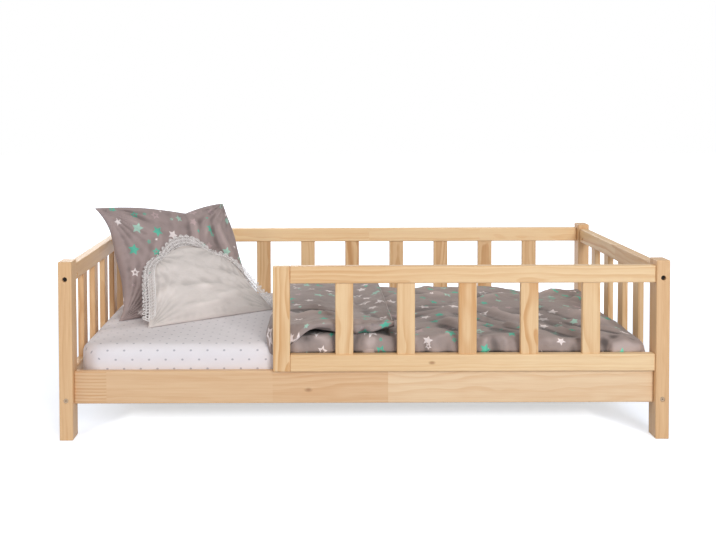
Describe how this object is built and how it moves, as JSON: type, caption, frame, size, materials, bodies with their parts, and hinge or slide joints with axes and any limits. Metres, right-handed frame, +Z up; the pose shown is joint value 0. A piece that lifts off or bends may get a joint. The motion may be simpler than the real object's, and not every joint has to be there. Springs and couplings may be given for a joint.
{
  "type": "child's bed",
  "caption": "Low pine child's bed with square posts, slatted back and ends, a part-length front guard, slatted base, mattress with fitted sheet, pillows and a folded duvet.",
  "frame": {"origin": "on the floor, at the centre of the bed's length and width", "axes": "+X along the bed from the pillow end to the foot end, +Y from the guard side to the back, +Z up"},
  "size_m": [1.696, 0.89, 0.603],
  "materials": {
    "pine": "clear satin lacquer on planed pine",
    "sawn_pine": "planed, unlacquered pine",
    "beech": "matte",
    "zinc": "satin zinc plate",
    "webbing": "matte woven band",
    "foam": "matte knitted cover over foam",
    "sheet_cotton": "matte white cotton with small grey dots",
    "star_cotton": "matte mauve-grey cotton with scattered stars",
    "plain_cotton": "matte light grey cotton",
    "lace": "white cotton lace"
  },
  "bodies": {
    "root": {"post_front_left": "pine", "post_front_right": "pine", "post_back_left": "pine", "post_back_right": "pine", "front_board": "pine", "back_board": "pine", "left_end_board": "pine", "right_end_board": "pine", "guard_top_rail": "pine", "guard_bottom_rail": "pine", "guard_stile": "pine", "guard_slat_1": "pine", "guard_slat_2": "pine", "guard_slat_3": "pine", "guard_slat_4": "pine", "guard_slat_5": "pine", "back_top_rail": "pine", "back_slat_1": "pine", "back_slat_2": "pine", "back_slat_3": "pine", "back_slat_4": "pine", "back_slat_5": "pine", "back_slat_6": "pine", "back_slat_7": "pine", "back_slat_8": "pine", "back_slat_9": "pine", "left_top_rail": "pine", "left_slat_1": "pine", "left_slat_2": "pine", "left_slat_3": "pine", "left_slat_4": "pine", "right_top_rail": "pine", "right_slat_1": "pine", "right_slat_2": "pine", "right_slat_3": "pine", "right_slat_4": "pine", "front_cleat": "sawn_pine", "back_cleat": "sawn_pine", "base_slats": "sawn_pine", "base_webbing": "webbing", "end_bolts": "zinc", "side_bolts": "zinc", "barrel_nuts": "zinc", "cleat_screws": "zinc", "base_screws": "zinc", "dowels": "beech"},
    "mattress": {"mattress": "foam", "fitted_sheet": "sheet_cotton"},
    "star_pillow": {"star_pillow": "star_cotton"},
    "lace_pillow": {"lace_pillow": "plain_cotton", "lace_trim": "lace"},
    "duvet": {"duvet": "star_cotton"}
  },
  "joints": [
    {"name": "mattress_lift", "type": "slide", "parent": "root", "child": "mattress", "axis": [0, 0, 1], "range_m": [0, 0.4]},
    {"name": "star_pillow_lift", "type": "slide", "parent": "mattress", "child": "star_pillow", "axis": [0, 0, 1], "range_m": [0, 0.3]},
    {"name": "lace_pillow_lift", "type": "slide", "parent": "star_pillow", "child": "lace_pillow", "axis": [0, 0, 1], "range_m": [0, 0.3]},
    {"name": "duvet_lift", "type": "slide", "parent": "mattress", "child": "duvet", "axis": [0, 0, 1], "range_m": [0, 0.3]}
  ]
}
